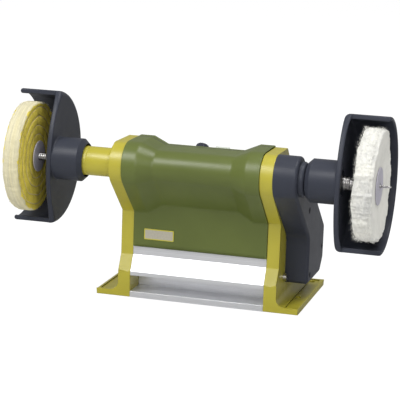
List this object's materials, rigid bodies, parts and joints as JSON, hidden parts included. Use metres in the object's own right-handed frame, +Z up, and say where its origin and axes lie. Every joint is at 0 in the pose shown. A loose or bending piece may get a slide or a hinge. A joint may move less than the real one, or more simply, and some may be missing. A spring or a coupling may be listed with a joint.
{
  "type": "bench polishing lathe",
  "caption": "Small bench polishing lathe: belt-driven spindle leaning forward over a cast base, cloth mop on a tapered arbor at each end, each inside a swivelling guard.",
  "frame": {"origin": "centre of the base's footprint, on the bench", "axes": "+X along the spindle towards the belt side, +Y to the back, +Z up"},
  "size_m": [0.3466, 0.1785, 0.1853],
  "materials": {
    "anodised_aluminium": "satin anodised",
    "belt_rubber": "ribbed",
    "black_plastic": "fine-grained black",
    "board_laminate": "glass epoxy laminate",
    "brass": "turned",
    "bright_steel": "ground",
    "carbon": "carbon",
    "copper_coils": "enamelled copper",
    "dark_steel": "blackened",
    "dial_film": "grey scale plate",
    "die_cast": "as cast",
    "felt": "felt",
    "ferrite": "ground ferrite",
    "green_shell": "satin olive-green moulded shell",
    "grey_plastic": "pale moulded bezel",
    "label_film": "blank yellow film label",
    "lamination_steel": "stacked laminations",
    "olive_paint": "satin yellow-green powder paint on cast metal",
    "red_plastic": "gloss",
    "washer_card": "pressed washer",
    "white_cotton": "loose cotton plies, frayed edge",
    "yellow_cloth": "stitched impregnated cloth plies",
    "zinc_steel": "zinc plated"
  },
  "bodies": {
    "machine": {"left_end_frame": "olive_paint", "right_end_frame": "olive_paint", "left_spindle_tube": "olive_paint", "front_housing": "green_shell", "rear_housing": "green_shell", "blank_label": "label_film", "base_section": "anodised_aluminium", "motor_rear_cap": "die_cast", "motor_drive_cap": "die_cast", "belt_cover": "black_plastic", "right_spindle_sleeve": "black_plastic", "switch_housing": "grey_plastic", "dial_plate": "dial_film", "cord_gland": "black_plastic", "brush_holders": "brass", "carbon_brushes": "carbon", "motor_magnets": "ferrite", "motor_can": "zinc_steel", "motor_bushes": "brass", "bearing_outer_rings": "bright_steel", "bearing_balls": "bright_steel", "frame_screws": "zinc_steel", "motor_screws": "zinc_steel", "cover_screws": "dark_steel", "drive_belt": "belt_rubber", "felt_dust_rings": "felt", "circuit_board": "board_laminate", "board_spacers": "black_plastic", "potentiometer": "zinc_steel"},
    "spindle": {"spindle_shaft": "bright_steel", "bearing_inner_rings": "bright_steel", "shaft_circlips": "dark_steel", "spindle_pulley": "die_cast", "left_arbor": "bright_steel", "right_arbor": "bright_steel", "left_mop": "yellow_cloth", "right_mop": "white_cotton", "left_mop_washers": "washer_card", "right_mop_washers": "washer_card"},
    "motor_rotor": {"motor_shaft": "bright_steel", "motor_pulley": "die_cast", "armature_core": "lamination_steel", "armature_coils": "copper_coils", "commutator": "brass", "cooling_fan": "black_plastic"},
    "speed_knob": {"speed_knob": "black_plastic", "potentiometer_shaft": "bright_steel"},
    "power_rocker": {"power_rocker": "red_plastic"},
    "left_guard": {"left_guard": "black_plastic", "left_guard_collar": "black_plastic", "left_guard_screw": "dark_steel"},
    "right_guard": {"right_guard": "black_plastic", "right_guard_collar": "black_plastic", "right_guard_screw": "dark_steel"}
  },
  "joints": [
    {"name": "spindle_spin", "type": "hinge", "parent": "machine", "child": "spindle", "pos_m": [0, -0.0715, 0.126], "axis": [1, 0, 0], "continuous": true},
    {"name": "motor_spin", "type": "hinge", "parent": "machine", "child": "motor_rotor", "pos_m": [0, 0.0095, 0.055], "axis": [1, 0, 0], "continuous": true},
    {"name": "speed_knob_turn", "type": "hinge", "parent": "machine", "child": "speed_knob", "pos_m": [-0.0068, -0.03077, 0.13448], "axis": [0, -0.7071, -0.7071], "range_deg": [0, 270]},
    {"name": "power_rocker_tilt", "type": "hinge", "parent": "machine", "child": "power_rocker", "pos_m": [0.0137, -0.02709, 0.13081], "axis": [-1, 0, 0], "range_deg": [0, 16]},
    {"name": "left_guard_swivel", "type": "hinge", "parent": "machine", "child": "left_guard", "pos_m": [-0.1283, -0.0715, 0.126], "axis": [1, 0, 0], "range_deg": [-60, 90]},
    {"name": "right_guard_swivel", "type": "hinge", "parent": "machine", "child": "right_guard", "pos_m": [0.1283, -0.0715, 0.126], "axis": [1, 0, 0], "range_deg": [-60, 90]}
  ],
  "couplings": [
    {"joint": "motor_spin", "follows": "spindle_spin", "ratio": 1.3828}
  ]
}
